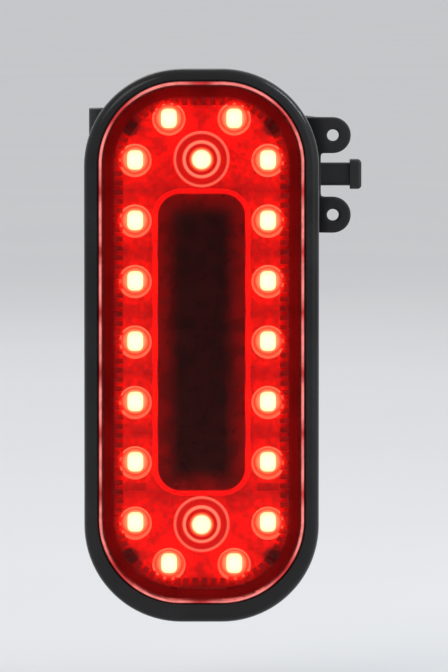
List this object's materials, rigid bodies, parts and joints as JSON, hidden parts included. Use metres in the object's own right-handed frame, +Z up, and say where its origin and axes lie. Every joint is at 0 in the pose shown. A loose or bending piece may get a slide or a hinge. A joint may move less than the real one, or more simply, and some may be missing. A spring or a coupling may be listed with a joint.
{
  "type": "bicycle radar tail light",
  "caption": "Upright rounded red tail light with a dark radar window, on a quarter-turn bracket that a rubber strap holds to a seat post.",
  "frame": {"origin": "on the seat post's axis, level with the middle of the strap", "axes": "+Z up along the seat post, -Y rearward out of the lens, +X to the right seen from behind the bicycle"},
  "size_m": [0.0505, 0.0662, 0.1],
  "materials": {
    "housing_plastic": "black, fine moulded grain",
    "frame_plastic": "black, satin to gloss",
    "bracket_plastic": "black glass-filled nylon",
    "lens_plastic": "clear red tint, polished",
    "clear_plastic": "clear, polished",
    "reflector_plastic": "moulded red, fluted edge",
    "window_plastic": "near-black, polished",
    "led_resin": "pale yellow resin",
    "board": "green solder mask",
    "chip_plastic": "moulded black",
    "pale_plastic": "natural nylon",
    "inner_plastic": "dark grey moulding",
    "copper": "bare copper foil",
    "battery_foil": "laminated foil pouch",
    "foam": "closed-cell foam",
    "lead_rubber": "insulated wire",
    "shield_steel": "tinned sheet",
    "fastener_steel": "stainless, satin",
    "spring_steel": "tempered strip",
    "strap_rubber": "black silicone, matt",
    "button_plastic": "black, satin",
    "cover_rubber": "black, matt",
    "seal_rubber": "grey-black silicone",
    "vent_fabric": "porous membrane"
  },
  "bodies": {
    "bracket": {"bracket_base": "bracket_plastic", "locking_plate": "bracket_plastic", "bracket_screws": "fastener_steel", "post_pad": "strap_rubber", "strap": "strap_rubber", "detent_springs": "spring_steel"},
    "light_unit": {"rear_housing": "housing_plastic", "front_frame": "frame_plastic", "lens": "lens_plastic", "lens_seal": "seal_rubber", "case_gasket": "seal_rubber", "reflector": "reflector_plastic", "ring_leds": "led_resin", "main_leds": "led_resin", "upper_collimator": "clear_plastic", "lower_collimator": "clear_plastic", "centre_panel": "window_plastic", "radar_board": "board", "antenna_patches": "copper", "radar_shield": "shield_steel", "board_headers": "chip_plastic", "board_posts": "fastener_steel", "led_board": "board", "main_board": "board", "board_chips": "chip_plastic", "battery_cell": "battery_foil", "battery_tray": "inner_plastic", "battery_foam": "foam", "battery_leads": "lead_rubber", "battery_connector": "pale_plastic", "usb_shell": "shield_steel", "usb_tongue": "chip_plastic", "tact_switch": "shield_steel", "status_led": "led_resin", "light_pipe": "clear_plastic", "case_screws": "fastener_steel", "mount_cleat": "bracket_plastic", "cleat_screws": "fastener_steel", "vent_membrane": "vent_fabric", "cover_anchor": "cover_rubber", "button_seal": "seal_rubber"},
    "usb_cover": {"usb_cover": "cover_rubber"},
    "power_button": {"button_cap": "button_plastic", "switch_plunger": "chip_plastic"}
  },
  "joints": [
    {"name": "quarter_turn", "type": "hinge", "parent": "bracket", "child": "light_unit", "pos_m": [0, -0.0252, 0], "axis": [0, 1, 0], "range_deg": [0, 90]},
    {"name": "button_press", "type": "slide", "parent": "light_unit", "child": "power_button", "axis": [0, 0, -1], "range_m": [0, 0.0006], "stiffness_N_per_m": 1000, "springref_m": -0.0005},
    {"name": "usb_cover_hinge", "type": "hinge", "parent": "light_unit", "child": "usb_cover", "pos_m": [-0.00625, -0.03777, -0.07965], "axis": [0, 1, 0], "range_deg": [0, 120], "stiffness_Nm_per_rad": 0.0005, "springref_deg": -17.19}
  ]
}
